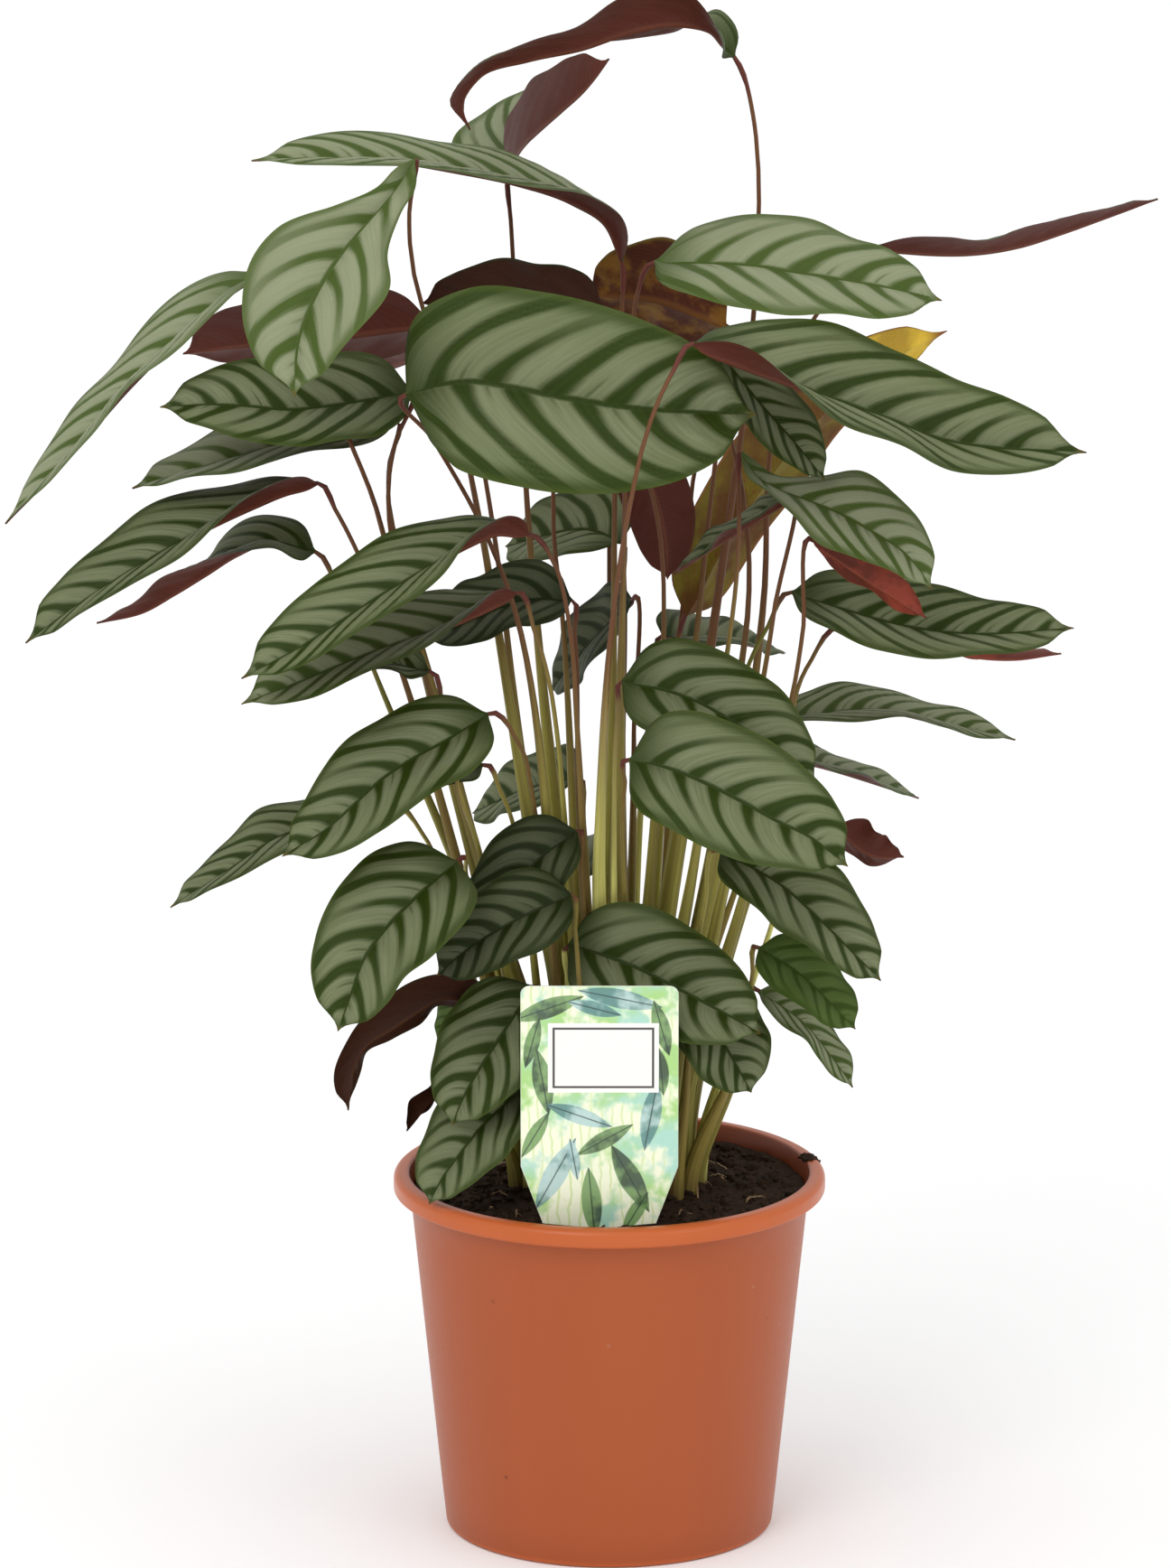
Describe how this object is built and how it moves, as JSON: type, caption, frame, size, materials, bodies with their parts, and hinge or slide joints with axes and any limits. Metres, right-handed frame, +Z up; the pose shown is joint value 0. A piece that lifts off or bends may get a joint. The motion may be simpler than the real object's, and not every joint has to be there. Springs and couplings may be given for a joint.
{
  "type": "potted ctenanthe plant",
  "caption": "Bushy potted foliage plant: long-stalked patterned leaves rising from one clump in a round plastic grower's pot, with a blank plant tag.",
  "frame": {"origin": "centre of the pot's flat foot, on the surface that it stands on", "axes": "+Z up, -Y toward the viewer of the front, +X to that viewer's right"},
  "size_m": [0.4471, 0.3119, 0.6164],
  "materials": {
    "pot": "thin-walled terracotta-coloured moulded plastic with a soft vertical sheen and light scuffs",
    "soil": "moist dark brown peat-based potting mix, crumbly and matt",
    "tag": "smooth printed plastic with a plain wash of greens and an empty pale panel",
    "leaf": "semi-matt leaf, silvery green with dark green herringbone bands above, red-brown beneath, on a slim fleshy stalk"
  },
  "bodies": {
    "root": {"pot": "pot", "soil": "soil", "tag": "tag", "leaf_01": "leaf", "leaf_02": "leaf", "leaf_03": "leaf", "leaf_04": "leaf", "leaf_05": "leaf", "leaf_06": "leaf", "leaf_07": "leaf", "leaf_08": "leaf", "leaf_09": "leaf", "leaf_10": "leaf", "leaf_11": "leaf", "leaf_12": "leaf", "leaf_13": "leaf", "leaf_14": "leaf", "leaf_15": "leaf", "leaf_16": "leaf", "leaf_17": "leaf", "leaf_18": "leaf", "leaf_19": "leaf", "leaf_20": "leaf", "leaf_21": "leaf", "leaf_22": "leaf", "leaf_23": "leaf", "leaf_24": "leaf", "leaf_25": "leaf", "leaf_26": "leaf", "leaf_27": "leaf", "leaf_28": "leaf", "leaf_29": "leaf", "leaf_30": "leaf", "leaf_31": "leaf", "leaf_32": "leaf", "leaf_33": "leaf", "leaf_34": "leaf", "leaf_35": "leaf", "leaf_36": "leaf", "leaf_37": "leaf", "leaf_38": "leaf", "leaf_39": "leaf", "leaf_40": "leaf", "leaf_41": "leaf", "leaf_42": "leaf", "leaf_43": "leaf", "leaf_44": "leaf", "leaf_45": "leaf", "leaf_46": "leaf", "leaf_47": "leaf", "leaf_48": "leaf", "leaf_49": "leaf", "leaf_50": "leaf", "leaf_51": "leaf", "leaf_52": "leaf", "leaf_53": "leaf", "leaf_54": "leaf", "leaf_55": "leaf", "leaf_56": "leaf", "leaf_57": "leaf"}
  },
  "joints": []
}
